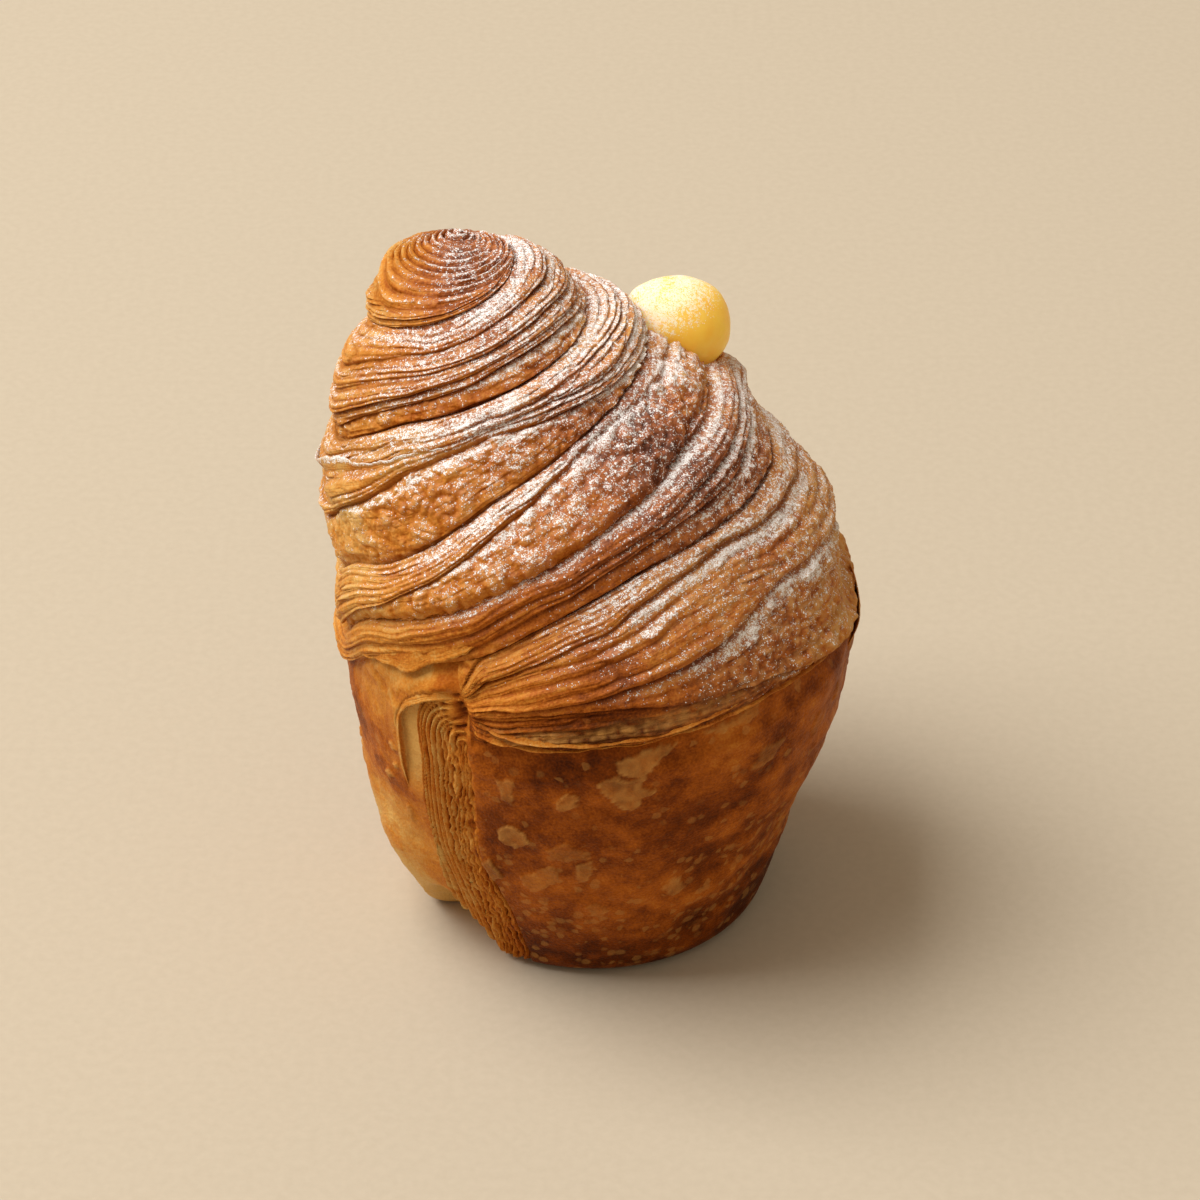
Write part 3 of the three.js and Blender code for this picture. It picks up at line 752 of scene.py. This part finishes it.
# Skin of the base: flakes, wrinkles on the right, creases above the tongue, thin sheets on the left, blisters
draw = np.random.default_rng(SEED)
marks = FLAKES + tuple(stray_blister(draw) for _ in range(STRAY_BLISTERS))
ragged = RAGGED * (0.5 * noise_at(base_points, 1.8, 37) + 0.4 * noise_at(base_points, 0.8, 39))
lifted, base_pale = spots(base_azimuth, base_level, marks, ragged)
base_pale = base_pale * (0.8 + 0.5 * noise_at(base_points, 0.9, 40))
wrinkle = 0.6 * noise(ring / 26, base_level * 8 + ring / 80, 38)
wrinkle += 0.6 * noise(ring / 14, base_level * 18 + ring / 60, 44)
crease = noise(right_way / 9, up_way / 1.8 - right_way / 5, 49)
crease = terraces(1.6 * crease + 0.3 * noise_at(base_points, 1.5, 67)) / 1.6
streaks = noise(ring / 26 - base_level * 1.4, ring / 60 + base_level * 5, 45)
streaks += 0.8 * noise(ring / 12 - base_level * 4, ring / 40 + base_level * 8, 46)
sheets = terraces(1.8 * streaks + 0.35 * noise_at(base_points, 1.3, 47)) / 1.8
blisters = terraces(2.2 * noise_at(base_points, 5, 65) + 1.3 * noise_at(base_points, 2, 66)) / 2.2
base_raised = 0.4 * noise_at(base_points, 9, 31) + 0.12 * noise_at(base_points, 2.2, 32)
base_raised += 0.05 * noise_at(base_points, 0.9, 33) + lifted + 0.45 * base_right * wrinkle
base_raised += 0.5 * flap * crease + 0.16 * left * sheets + 0.08 * (1 - left) * blisters
base_raised *= (1 - 0.8 * fan) * (1 - rim) * smooth(base_level, 0.03, 0.12)
base_raised *= 1 - smooth(degrees, 345, 358) * smooth(base_level, 1.05, 1.12)
base_points = base_points + base_normals * base_raised[..., None]
base_points[-1] = points[0]

# Tone of the base: darkest in front, partly as painted shade, at its foot as painted shade and under the rim,
# palest on the left, fan and tongue
mottle = noise_at(base_points, 11, 34) + 0.6 * noise_at(base_points, 4, 35)
# Painted shade in the fan's gaps and the knot's dent, painted highlights on the fan's crests and the lip's
# edge
base_brown = 0.58 + 0.09 * mottle + 0.06 * noise_at(base_points, 1.8, 36) + 0.46 * base_gap - 0.16 * crest
# Darker in front: partly the base's deeper bake, partly painted shade where it faces down, with a dark patch
# just under the rim
base_brown += front * (0.13 + 0.18 * bump(base_level, 1.03, 0.08) * bump(ring, -6, 15))
# Painted shade: darker low on the front, where little light reaches the foot
base_brown += 0.22 * front * fade(base_level, 0.05, 0.35)
base_brown += 0.14 * bump(ring, -26, 4) * bump(base_level, 0.66, 0.25) - 0.24 * fan
# Painted sheen: lighter along the wrinkles on the right; the lower left is paler pastry with painted bounce
# light on it
base_brown -= 0.15 * left + 0.18 * wrinkle * base_right + 0.14 * curl + 0.5 * pale_and_lit_foot
base_brown -= 0.16 * bump(ring, -48, 12) * fade(base_level, 0.15, 0.5) * (1 - fan)
base_brown += 0.16 * left * bump(base_level, 1, 0.13) + 0.2 * left * sheets
base_brown -= 0.05 * (1 - left) * (1 - fan) * blisters
flap_tone = 0.4 + 0.1 * noise_at(base_points, 3, 48) - 0.2 * crease
base_brown = mix(base_brown, flap_tone, flap * (1 - fan))
base_brown = mix(base_brown, 0.1, tongue)
base_pale = np.maximum(base_pale, 0.35 * tongue)
base_specks = 0.16 * front * fade(base_level, 0.5, 0.8) + 0.05

# Along and across the base's fibres, which run up the fan, slant on the left and run round elsewhere
base_along = np.where(fan > 0.05, up_way, mix(right_way, 0.5 * right_way - 0.85 * up_way, left))
base_spread = np.where(fan > 0.05, 0.66 * away, mix(up_way, 0.85 * right_way + 0.5 * up_way, left))
base_layered = np.maximum(fan, 0.45 * left + 0.3 * base_right)

# One surface of both grids and the middle of the foot
surface = np.concatenate([base_points.reshape(-1, 3), points.reshape(-1, 3), [[0, 0, 0]]])
base_ids = np.arange(base_level.size).reshape(-1, count)
crown_ids = base_level.size + np.arange(level.size).reshape(-1, count)
foot = len(surface) - 1
join = np.concatenate([crown_ids[:-ROWS, -1:], crown_ids[ROWS:, :1]], 1)
seam = zip_columns(
    base_ids[:, -1],
    np.concatenate([base_ids[:, 0], crown_ids[1 : ROWS + 1, 0]]),
    base_level[:, -1],
    np.concatenate([base_level[:, 0], level[1 : ROWS + 1, 0]]),
)
last_column = crown_ids[-ROWS - 1 :, -1]
summit = [(below, crown_ids[-1, 0], above) for below, above in zip(last_column, last_column[1:])]
sole = [(foot, base_ids[0, (c + 1) % count], base_ids[0, c]) for c in range(count)]


def per_vertex(base_values, crown_values, foot_value=0.0):
    return np.concatenate([np.ravel(base_values), np.ravel(crown_values), [foot_value]])


attributes = {
    "gap": per_vertex(base_gap, start * gap),
    "brown": per_vertex(base_brown, brown, 0.5),
    "dust": per_vertex(0 * base_level, dust),
    "pale": per_vertex(base_pale, pale),
    "layered": per_vertex(base_layered, ridged),
    "along": per_vertex(base_along, coil_length(turn)),
    "spread": per_vertex(base_spread, spread),
    "specks": per_vertex(base_specks * (1 - fan), 0 * level),
}


def linear(screen):
    """A colour for a shader from 8-bit screen values."""
    values = [v / 255 for v in screen]
    return tuple(v / 12.92 if v <= 0.04045 else ((v + 0.055) / 1.055) ** 2.4 for v in values) + (1.0,)


class Shader:
    """A material whose nodes are added one call at a time."""

    def __init__(self, name):
        self.material = bpy.data.materials.new(name)
        self.material.use_nodes = True
        self.tree = self.material.node_tree
        self.surface = self.tree.nodes["Principled BSDF"]
        self.place = self.node("TexCoord", {})["Object"]

    def feed(self, socket, value):
        if isinstance(value, bpy.types.NodeSocket):
            self.tree.links.new(value, socket)
        else:
            socket.default_value = value

    def set(self, name, value):
        self.feed(self.surface.inputs[name], value)

    def node(self, kind, inputs, **settings):
        """The outputs of a new node with these inputs and settings."""
        node = self.tree.nodes.new(f"ShaderNode{kind}")
        for name, value in settings.items():
            setattr(node, name, value)
        for key, value in inputs.items():
            self.feed(node.inputs[key], value)
        return node.outputs

    def attribute(self, name):
        return self.node("Attribute", {}, attribute_name=name)["Fac"]

    def math(self, operation, first, second):
        return self.node("Math", {0: first, 1: second}, operation=operation)[0]

    def noise_over(self, place, scale, detail):
        return self.node("TexNoise", {"Vector": place, "Scale": scale, "Detail": detail})["Fac"]

    def noise(self, size, detail):
        """Noise about 0.5 with features of a size in millimetres."""
        return self.noise_over(self.place, 1 / (size * MM), detail)

    def streaks(self, length, width, detail):
        """Noise about 0.5 drawn out along the layers, with features of these sizes in millimetres."""
        along = self.math("DIVIDE", self.attribute("along"), length)
        spread = self.math("DIVIDE", self.attribute("spread"), width)
        return self.noise_over(self.node("CombineXYZ", {0: along, 1: spread})[0], 1, detail)

    def remap(self, value, low, high, to_low=0.0, to_high=1.0):
        return self.node("MapRange", dict(enumerate((value, low, high, to_low, to_high))))[0]

    def ramp(self, value, stops):
        node = self.tree.nodes.new("ShaderNodeValToRGB")
        elements = node.color_ramp.elements
        while len(elements) < len(stops):
            elements.new(0.5)
        for element, (position, colour) in zip(elements, stops):
            element.position = position
            element.color = linear(colour)
        self.feed(node.inputs["Fac"], value)
        return node.outputs["Color"]

    def mix(self, share, first, second):
        return self.node("Mix", {0: share, 6: first, 7: second}, data_type="RGBA")[2]

    def bump(self, height, strength, depth):
        inputs = {"Height": height, "Strength": strength, "Distance": depth * MM}
        self.set("Normal", self.node("Bump", inputs)["Normal"])


def grains(shader, size, chance):
    """Spots of a size, each there where its own random draw is below the chance."""
    cells = shader.node("TexVoronoi", {"Vector": shader.place, "Scale": 1 / (size * MM)})
    draw = shader.node("SeparateColor", {0: cells["Color"]})[0]
    taken = shader.remap(shader.math("SUBTRACT", chance, draw), -0.02, 0.04)
    return shader.math("MULTIPLY", taken, shader.remap(cells["Distance"], 0.75, 0.5))


def speckle(shader, dust):
    """Where sugar lies: a thin veil with single grains, close together where the dust is thick."""
    drift = shader.remap(shader.noise(size=0.7, detail=4), 0.32, 0.68, -0.5, 0.5)
    chance = shader.math("ADD", dust, shader.math("MULTIPLY", drift, shader.remap(dust, 0, 0.4)))
    chance = shader.math("SUBTRACT", chance, 0.05)
    fine = shader.math("MULTIPLY", grains(shader, FINE_GRAIN, chance), 0.9)
    fewer = shader.math("MULTIPLY", shader.math("SUBTRACT", chance, 0.1), 0.6)
    coarse = grains(shader, COARSE_GRAIN, fewer)
    veil = shader.remap(dust, 0, 0.8, 0, 0.16)
    return shader.math("MAXIMUM", veil, shader.math("MAXIMUM", fine, coarse))


def crust_material(name, mottling, fleck_size):
    """Baked crust by its brown tone, with painted shade in the gaps, pale skin, flecks and sugar."""
    shader = Shader(name)
    mottle = shader.remap(shader.noise(size=2.2, detail=4), 0.25, 0.75, -mottling, mottling)
    fine = shader.remap(shader.noise(size=0.4, detail=4), 0.3, 0.7, -mottling, mottling)
    fibres = shader.remap(shader.streaks(length=6, width=0.35, detail=3), 0.3, 0.7, -1, 1)
    fibres = shader.math("MULTIPLY", fibres, shader.attribute("layered"))
    tone = shader.math("ADD", shader.attribute("brown"), shader.math("ADD", mottle, fine))
    tone = shader.math("ADD", tone, shader.math("MULTIPLY", fibres, 0.09))
    baked = shader.ramp(tone, CRUST_TONES)
    flecks = shader.math("MULTIPLY", grains(shader, fleck_size, shader.attribute("specks")), 0.3)
    pale = shader.math("MAXIMUM", shader.attribute("pale"), flecks)
    baked = shader.mix(pale, baked, linear(PALE_SKIN))
    # Painted shade: the gaps are darkened towards the gap colour by how deep in a gap each place lies
    depth = shader.remap(shader.attribute("gap"), 0, 1, 0, 0.5)
    baked = shader.mix(depth, baked, linear(GAP_SHADE))
    sugar = speckle(shader, shader.attribute("dust"))
    shader.set("Base Color", shader.mix(sugar, baked, linear(SUGAR)))
    shader.set("Roughness", shader.remap(sugar, 0, 1, 0.48, 0.85))
    shader.set("Specular IOR Level", 0.07)
    grain = shader.math("ADD", shader.math("MULTIPLY", sugar, 0.5), shader.noise(size=0.45, detail=4))
    grain = shader.math("ADD", grain, shader.math("MULTIPLY", fibres, 0.35))
    shader.bump(grain, strength=0.7, depth=0.3)
    return shader.material


def cream_material():
    """Smooth yellow cream that light enters, with a painted glow and sugar."""
    shader = Shader("cream")
    tone = shader.remap(shader.noise(size=3, detail=3), 0.3, 0.7)
    yellow = shader.mix(tone, linear(CREAM_LIGHT), linear(CREAM_DEEP))
    sugar = speckle(shader, shader.attribute("dust"))
    shader.set("Base Color", shader.mix(shader.math("MULTIPLY", sugar, 0.7), yellow, linear(SUGAR)))
    shader.set("Roughness", shader.remap(sugar, 0, 1, 0.42, 0.8))
    # Painted glow: a faint emission stands in for light passing through the cream
    shader.set("Emission Color", linear(CREAM_PAINTED_GLOW))
    shader.set("Emission Strength", 0.1)
    shader.set("Subsurface Weight", 0.7)
    shader.set("Subsurface Scale", 1.0)
    shader.set("Subsurface Radius", (0.012, 0.009, 0.003))
    grain = shader.math("ADD", shader.math("MULTIPLY", sugar, 0.5), shader.noise(size=0.8, detail=3))
    shader.bump(grain, strength=0.4, depth=0.15)
    return shader.material


def floor_material():
    shader = Shader("floor")
    shader.set("Base Color", shader.ramp(shader.noise(size=1.5, detail=2), FLOOR_TONES))
    shader.set("Roughness", 0.9)
    return shader.material


# Pastry: the surface in one piece for the base and one for each turn
crust = crust_material("crust", mottling=0.10, fleck_size=1.0)
base_crust = crust_material("base_crust", mottling=0.07, fleck_size=1.3)
pieces = {"pastry_base": [quads(base_ids), np.array(seam), np.array(sole)]}
for n in range(TURNS):
    rows = slice(n * ROWS, (n + 1) * ROWS + 1)
    closing = quads(join[rows]) if n < TURNS - 1 else np.array(summit)
    pieces[f"pastry_turn_{n + 1}"] = [quads(crown_ids[rows]), closing]
surface_normals = vertex_normals(surface, [group for faces in pieces.values() for group in faces])
pastry = []
for name, faces in pieces.items():
    material = base_crust if name == "pastry_base" else crust
    pastry.append(mesh_object(name, surface, faces, attributes, material, surface_normals))

# Thin sheets
column_levels = np.concatenate([base_level, level[1:]])
column_out = np.concatenate([base_out, crown_out[1:]])
sheet_steps = np.linspace(0, 1, SHEET_STEPS)


def surface_out(azimuth, level):
    """How far the pastry lies outside the plain ring at a place."""
    column = np.argmin(np.abs(wrapped(degrees + TAIL - azimuth + fan_drift(azimuth, level))))
    return np.interp(level, column_levels[:, column], column_out[:, column])


def even_ground(azimuths, levels):
    """How far the pastry lies outside the plain ring along a line, without its finest relief."""
    ground = [surface_out(azimuth, level) for azimuth, level in zip(azimuths, levels)]
    taps = 2 * SHEET_EVEN + 1
    return np.convolve(np.pad(ground, SHEET_EVEN, mode="edge"), np.ones(taps) / taps, mode="valid")


def lip_line(beyond):
    """Azimuths and levels along the lip, from its foot up and over the knot, so many degrees outside it."""
    bend = np.radians(LIP["bend"] * smooth(sheet_steps, 0.3, 1))
    straight = mix(LIP["foot"], KNOT_FOOT, np.minimum(1, sheet_steps / 0.5))
    away = lip_width(straight) + beyond
    level = straight + away * np.sin(bend) / LIP_RISE
    return fan_right(level) - away * np.cos(bend), level


def sheet_lines(form):
    """Lines along a sheet's root and free edge, and how far the edge stands out."""
    stops = np.linspace(0, 1, len(form["azimuths"]))
    lines = (curve(stops, form[key])(sheet_steps) for key in ("azimuths", "root", "edge", "out"))
    azimuth, root, edge, out = lines
    return (azimuth, root), (azimuth, edge), out


def sheet(name, seed, root, edge, out, tone, sugar):
    """A thin torn sheet from its root on the surface to its free edge, closed on both faces."""
    along = sheet_steps * np.hypot(DEGREE * np.ptp(root[0]), RIM_HEIGHT * np.ptp(root[1]))
    torn = noise(along / 3, seed, 51) + 0.6 * noise(along / 1.1, seed, 52)
    edge = (edge[0], edge[1] + SHEET_TEAR * torn)
    out = out * (1 + 0.2 * noise(along / 4, seed, 53))
    share = np.linspace(0, 1, SHEET_ROWS)[:, None]
    low = even_ground(*root)
    high = np.maximum(low, even_ground(*edge)) + out
    azimuth, level = mix(root[0], edge[0], share), mix(root[1], edge[1], share)
    middle = ring_point(azimuth, level, mix(low - SHEET_ROOTED, high, share**0.8))
    half = 0.5 * SHEET_THICKNESS * (1 - 0.6 * share)[..., None] * grid_normals(middle)
    points = np.concatenate([(middle + half).reshape(-1, 3), (middle - half).reshape(-1, 3)])
    front = np.arange(level.size).reshape(level.shape)
    back = front + front.size
    bottom, top = (np.stack([front[k], back[k]]) for k in (0, -1))
    start, end = (np.stack([front[:, k], back[:, k]]) for k in (0, -1))
    faces = [quads(ids) for ids in (front, back[:, ::-1], bottom[:, ::-1], top, start, end[:, ::-1])]

    def on_both(values):
        return np.tile(values + 0 * level, (2, 1)).ravel()

    crest = on_both(smooth(share, 0.55, 0.95))
    zero = np.zeros(len(points))
    values = {
        # Painted shade darkens each sheet towards its root
        "gap": 0.3 * (1 - crest),
        "brown": tone + 0.12 * noise_at(points, 2, 54) - 0.1 * on_both(share),
        "dust": sugar * crest * (0.7 + 0.4 * noise_at(points, 2, 55)),
        "pale": zero,
        "layered": zero + 0.6,
        "along": on_both(along),
        "spread": on_both(3 * share),
        "specks": zero,
    }
    return mesh_object(name, points, faces, values, crust)


lip_out = mix(LIP["stands"] * smooth(sheet_steps, 0, 0.2), LIP["ends"], smooth(sheet_steps, 0.7, 1))
sheet_forms = {name: (*sheet_lines(form), form["tone"], form["sugar"]) for name, form in SHEETS.items()}
sheet_forms["lip"] = (lip_line(LIP["root"]), lip_line(LIP["edge"]), lip_out, LIP["tone"], 0.0)
pastry += [sheet(name, seed, *form) for seed, (name, form) in enumerate(sheet_forms.items())]
for piece in pastry:
    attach(piece, "root")
    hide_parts("pastry")

# Cream: an egg that tapers to its left end
polar = np.linspace(0, np.pi, CREAM_ROWS + 1)[:, None]
around = np.linspace(0, 2 * np.pi, CREAM_COLUMNS, endpoint=False)
ball = (np.cos(polar) + 0 * around, np.sin(polar) * np.cos(around), np.sin(polar) * np.sin(around))
egg = np.stack(ball, -1)
girth = 1 + CREAM_TAPER * egg[..., :1]
egg_points = egg * CREAM_RADII * np.concatenate([np.ones_like(girth), girth, girth], -1)
lumps = 0.18 * noise_at(egg_points, 3.5, 41) + 0.05 * noise_at(egg_points, 1.2, 42)
egg_points = (egg_points + egg * lumps[..., None]) @ egg_turn.T + CREAM_CENTRE
egg_facing = egg @ egg_turn.T
egg_dust = smooth(egg_facing[..., 2] - 0.45 * egg_facing[..., 0], 0, 1)
egg_dust *= 0.95 + 0.6 * noise_at(egg_points, 2.2, 43)
egg_ids = np.arange(egg_dust.size).reshape(egg_dust.shape)
egg_ids = np.concatenate([egg_ids, egg_ids[:, :1]], 1)
cream = mesh_object(
    "cream_dollop", egg_points.reshape(-1, 3), [quads(egg_ids)], {"dust": egg_dust.ravel()}, cream_material()
)
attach(cream, "root")
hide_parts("cream")

# Stage, light and camera
bpy.ops.mesh.primitive_plane_add(size=FLOOR_SIZE)
floor = bpy.context.object
floor.name = "floor"
floor.data.materials.append(floor_material())

lamp = bpy.data.lights.new("key", "AREA")
lamp.energy = KEY_POWER
lamp.color = KEY_COLOUR
lamp.size = KEY_SIZE
key = add_object("key", lamp)
key.location = KEY_PLACE
key.rotation_euler = (KEY_AIM - KEY_PLACE).to_track_quat("-Z", "Y").to_euler()

world = bpy.data.worlds.new("studio")
world.use_nodes = True
background = world.node_tree.nodes["Background"]
background.inputs["Color"].default_value = AMBIENT_COLOUR
background.inputs["Strength"].default_value = AMBIENT
scene.world = world
scene.view_settings.view_transform = "Standard"

elevation = math.radians(CAMERA_ELEVATION)
right = Vector((1, 0, 0))
forward = Vector((0, math.cos(elevation), -math.sin(elevation)))
aim = Matrix((right, right.cross(forward), -forward)).transposed().to_4x4()
camera = add_object("camera", bpy.data.cameras.new("camera"))
camera.data.lens = LENS
camera.data.sensor_width = SENSOR
camera.matrix_world = Matrix.Translation(CAMERA_PLACE) @ aim
scene.camera = camera
